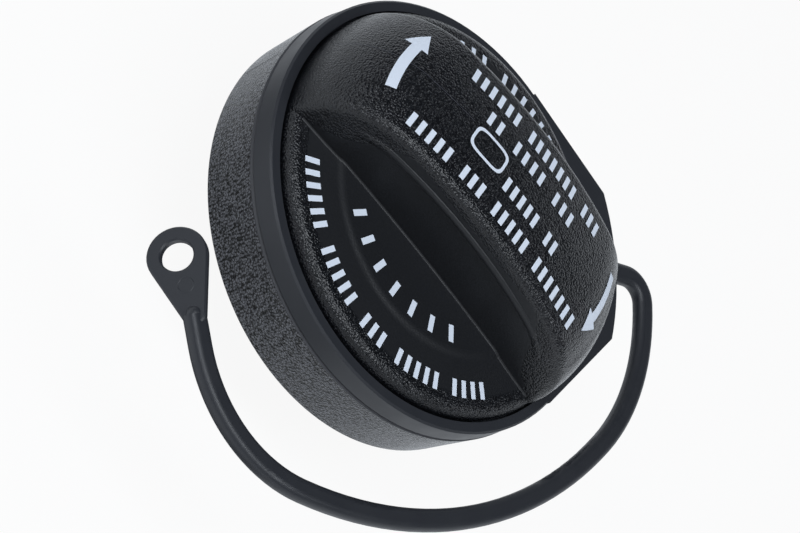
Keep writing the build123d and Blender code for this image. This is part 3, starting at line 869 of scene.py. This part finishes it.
@dataclass(frozen=True)
class CoilSpring:
    """A coil spring of round wire; its joint would shorten it, but it is wound at one length."""

    node: str
    body: str
    joint: str
    travel: float
    fixed: FixedEnd
    wire: float
    turns: int

    def build(self) -> bpy.types.Object:
        """Wind the spring in its node's box.

        The wire's middle climbs evenly round a circle. A ring square to it carries the section, and shrinks
        to a point at both ends.

        Returns:
            The spring, which stands for its node.
        """
        low, high = (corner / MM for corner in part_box(self.node))
        radius, length = (high.x - low.x - self.wire) / 2, high.z - low.z
        angles = np.linspace(0, 2 * np.pi * self.turns, WIRE_POINTS_PER_TURN * self.turns + 1)
        angles = np.concatenate([angles[:1], angles, angles[-1:]])
        thick = np.full(len(angles), self.wire / 2)
        thick[[0, -1]] = 0
        climb = (length - self.wire) / angles[-1]
        angle, turn = np.meshgrid(angles, np.linspace(0, 2 * np.pi, WIRE_RING_POINTS), indexing="ij")
        outward = np.stack([np.cos(angle), np.sin(angle), 0 * angle], -1)
        along = np.stack([-radius * np.sin(angle), radius * np.cos(angle), climb + 0 * angle], -1)
        along /= math.hypot(radius, climb)
        middle = radius * outward
        middle[..., 2] = low.z + self.wire / 2 + climb * angle
        ring = np.cos(turn)[..., None] * outward + np.sin(turn)[..., None] * np.cross(outward, along)
        spring = patches(f"{self.node}_wire", (middle + thick[:, None, None] * ring)[None])
        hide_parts(self.node)
        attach(spring, self.body)
        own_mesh(spring)
        return spring


@dataclass
class NeckAssembly:
    """The threaded plug with its seal, ratchet ring, cover and spring."""

    spring: CoilSpring = CoilSpring("pressure_spring", "neck", "pressure_lift", 3.0, FixedEnd.TOP, 1.4, 4)

    def build(self) -> None:
        """Wind the spring and dress the pieces."""
        self.dress(self.spring.build())

    def dress(self, spring: bpy.types.Object) -> None:
        """Give each inner piece its finish.

        Args:
            spring: The pressure spring.
        """
        dress(frame["nodes"]["closure_body"], BLACK_ACETAL)
        dress(frame["nodes"]["chamber_cover"], BLACK_ACETAL)
        dress(frame["nodes"]["ratchet_ring"], NATURAL_ACETAL)
        dress(frame["nodes"]["neck_gasket"], NITRILE)
        dress(spring, SPRING_STEEL)


@dataclass
class ValveAssembly:
    """The pressure valve, and the vacuum valve in its middle with its spring."""

    spring: CoilSpring = CoilSpring(
        "vacuum_spring", "pressure_valve", "vacuum_drop", 2.5, FixedEnd.FOOT, 0.7, 3,
    )

    def build(self) -> None:
        """Wind the spring and dress the pieces."""
        self.dress(self.spring.build())

    def dress(self, spring: bpy.types.Object) -> None:
        """Give each valve piece its finish.

        Args:
            spring: The vacuum spring.
        """
        dress(frame["nodes"]["pressure_plate"], NATURAL_ACETAL)
        dress(frame["nodes"]["vacuum_valve"], NATURAL_ACETAL)
        dress(frame["nodes"]["pressure_seal"], NITRILE)
        dress(frame["nodes"]["vacuum_clip"], SPRING_STEEL)
        dress(spring, SPRING_STEEL)


@dataclass(frozen=True)
class SoftBox:
    """A soft lamp that points at the cap from a direction, with its length along the bar."""

    name: str
    direction: tuple[float, float, float]
    distance: float
    length: float
    width: float
    power: float
    colour: str = "#F2F8FF"

    def build(self, aim: Vector) -> None:
        """Hang the lamp.

        Args:
            aim: The point that it shines at, in metres.
        """
        lamp = bpy.data.lights.new(self.name, "AREA")
        lamp.shape, lamp.size, lamp.size_y = "RECTANGLE", self.length * MM, self.width * MM
        lamp.energy, lamp.color = self.power, linear(self.colour)[:3]
        holder = bpy.data.objects.new(self.name, lamp)
        away = Vector(self.direction).normalized()
        side = (Vector((1, 0, 0)) - away * away.x).normalized()
        turn = Matrix((side, away.cross(side), away)).transposed().to_4x4()
        holder.matrix_world = Matrix.Translation(aim + away * self.distance * MM) @ turn
        bpy.context.scene.collection.objects.link(holder)


@dataclass
class Studio:
    """The pale floor, the room's light, the lamps and the camera."""

    aim: tuple[float, float, float] = (1.129, -11.073, 31.0)
    elevation: float = 42.709
    azimuth: float = -26.5
    roll: float = 69.839
    distance: float = 430.0
    focal_pixels: float = 2583.736
    picture_width: float = 800.0
    sensor_width: float = 36.0
    floor_half: float = 3000.0
    floor_gap: float = 0.1
    floor_glow: float = 0.92
    paper_tone: str = "#F2F2F2"
    # A band of painted shadow in the floor's mirrored glow: its side, where it starts and ends, and its depth
    painted_shade_side: float = -48.0
    painted_shade_start: tuple[float, float] = (28.0, 48.0)
    painted_shade_end: tuple[float, float] = (56.0, 80.0)
    painted_shade_dark: float = 0.1
    ceiling: str = "#303236"
    backdrop: str = "#F2F8FF"
    backdrop_top: float = 2.0
    ceiling_foot: float = 26.0
    boxes: tuple[SoftBox, ...] = (
        SoftBox("box_overhead", (-0.12, -0.27, 0.95), 600.0, 1000.0, 200.0, 3.4),
        SoftBox("box_left", (-0.86, -0.26, 0.44), 600.0, 300.0, 300.0, 0.15),
        SoftBox("box_front", (0.1, -0.72, 0.68), 600.0, 500.0, 500.0, 0.3),
    )

    def painted_shade_heading(self) -> Vector:
        """Level direction from the cap towards the floor's painted shade."""
        turn = math.radians(self.painted_shade_side)
        return Vector((math.sin(turn), -math.cos(turn), 0.0))

    def paper(self) -> bpy.types.Material:
        """Make the floor's matt paper: plain white to the eye, a little grey where the cap shades it.

        It glows white where it is seen straight or mirrored. Mirrored, its glow is dimmed in a band out on
        one side of the cap, a painted shadow.

        Returns:
            The new material.
        """
        paint = bpy.data.materials.new("paper_matt_white")
        paint.use_nodes = True
        tree = paint.node_tree
        tree.nodes.clear()
        path = add(tree, "ShaderNodeLightPath").outputs
        straight = path["Is Camera Ray"]
        seen = straight
        for kind in ("Is Glossy Ray", "Is Transmission Ray"):
            seen = add(tree, "ShaderNodeMath", {0: seen, 1: path[kind]}, operation="MAXIMUM").outputs[0]
        share = add(tree, "ShaderNodeMath", {0: seen, 1: self.floor_glow}, operation="MULTIPLY")
        place = add(tree, "ShaderNodeTexCoord").outputs["Object"]
        # Painted shadow: the mirrored glow dims in a band out on the shaded side
        front = add(tree, "ShaderNodeVectorMath", {0: place, 1: self.painted_shade_heading()}, operation="DOT_PRODUCT")
        fade = straight
        for dark, white in (self.painted_shade_start[::-1], self.painted_shade_end):
            step = add(tree, "ShaderNodeMapRange", {
                "Value": front.outputs["Value"], "From Min": dark * MM, "From Max": white * MM,
                "To Min": self.painted_shade_dark, "To Max": 1.0,
            }, interpolation_type="SMOOTHSTEP")
            fade = add(tree, "ShaderNodeMath", {0: fade, 1: step.outputs[0]}, operation="MAXIMUM").outputs[0]
        tone = add(tree, "ShaderNodeMix", {
            0: straight, 6: linear(self.backdrop), 7: linear(WHITE),
        }, data_type="RGBA")
        paper = add(tree, "ShaderNodeBsdfDiffuse", {"Color": linear(self.paper_tone)})
        glow = add(tree, "ShaderNodeEmission", {"Color": tone.outputs[2], "Strength": fade})
        mix = add(tree, "ShaderNodeMixShader", {0: share.outputs[0], 1: paper.outputs[0], 2: glow.outputs[0]})
        add(tree, "ShaderNodeOutputMaterial", {"Surface": mix.outputs[0]})
        return paint

    def floor(self) -> None:
        """Lay the floor just under the neck: a flat square that keeps the cap's shadow."""
        half, rest = self.floor_half, CAD_BOX[0][2] / MM - self.floor_gap
        x, y = np.meshgrid((-half, half), (-half, half), indexing="ij")
        floor = patches("floor", np.stack([x, y, 0 * x + rest], -1)[None])
        floor.data.materials.append(self.paper())

    def room(self) -> None:
        """Surround the cap with a white backdrop that fades into a darker ceiling."""
        world = bpy.data.worlds.new("studio_room")
        world.use_nodes = True
        tree = world.node_tree
        tree.nodes.clear()
        way = add(tree, "ShaderNodeTexCoord").outputs["Generated"]
        height = add(tree, "ShaderNodeSeparateXYZ", {0: way}).outputs["Z"]
        fade = add(tree, "ShaderNodeMapRange", {
            "Value": height, "From Min": math.sin(math.radians(self.backdrop_top)),
            "From Max": math.sin(math.radians(self.ceiling_foot)),
        }, interpolation_type="SMOOTHSTEP")
        tone = add(tree, "ShaderNodeMix", {
            0: fade.outputs[0], 6: linear(self.backdrop), 7: linear(self.ceiling),
        }, data_type="RGBA")
        light = add(tree, "ShaderNodeBackground", {"Color": tone.outputs[2], "Strength": 1.0})
        add(tree, "ShaderNodeOutputWorld", {"Surface": light.outputs[0]})
        bpy.context.scene.world = world

    def camera(self) -> None:
        """Set up the camera at the picture's viewing angle, turned about its own line of sight."""
        rise, turn, roll = (math.radians(a) for a in (self.elevation, self.azimuth, self.roll))
        back = Vector((math.sin(turn) * math.cos(rise), -math.cos(turn) * math.cos(rise), math.sin(rise)))
        level = Vector((math.cos(turn), math.sin(turn), 0))
        upright = back.cross(level)
        right = math.cos(roll) * level + math.sin(roll) * upright
        up = math.cos(roll) * upright - math.sin(roll) * level
        lens = bpy.data.cameras.new("camera")
        lens.sensor_width = self.sensor_width
        lens.lens = self.focal_pixels * self.sensor_width / self.picture_width
        camera = bpy.data.objects.new("camera", lens)
        place = (Vector(self.aim) + back * self.distance) * MM
        axes = Matrix((right, up, back)).transposed().to_4x4()
        camera.matrix_world = Matrix.Translation(place) @ axes
        bpy.context.scene.collection.objects.link(camera)
        bpy.context.scene.camera = camera

    def build(self) -> None:
        """Set up the whole studio."""
        self.floor()
        self.room()
        for box in self.boxes:
            box.build(Vector(self.aim) * MM)
        self.camera()
        bpy.context.scene.view_settings.view_transform = "Standard"


def main() -> None:
    """Build the cap's looks and the studio."""
    logging.basicConfig(level=logging.INFO, format="%(name)s: %(message)s")
    GripAssembly().build()
    TetherAssembly().build()
    NeckAssembly().build()
    ValveAssembly().build()
    Studio().build()


if __name__ == "__main__":
    main()
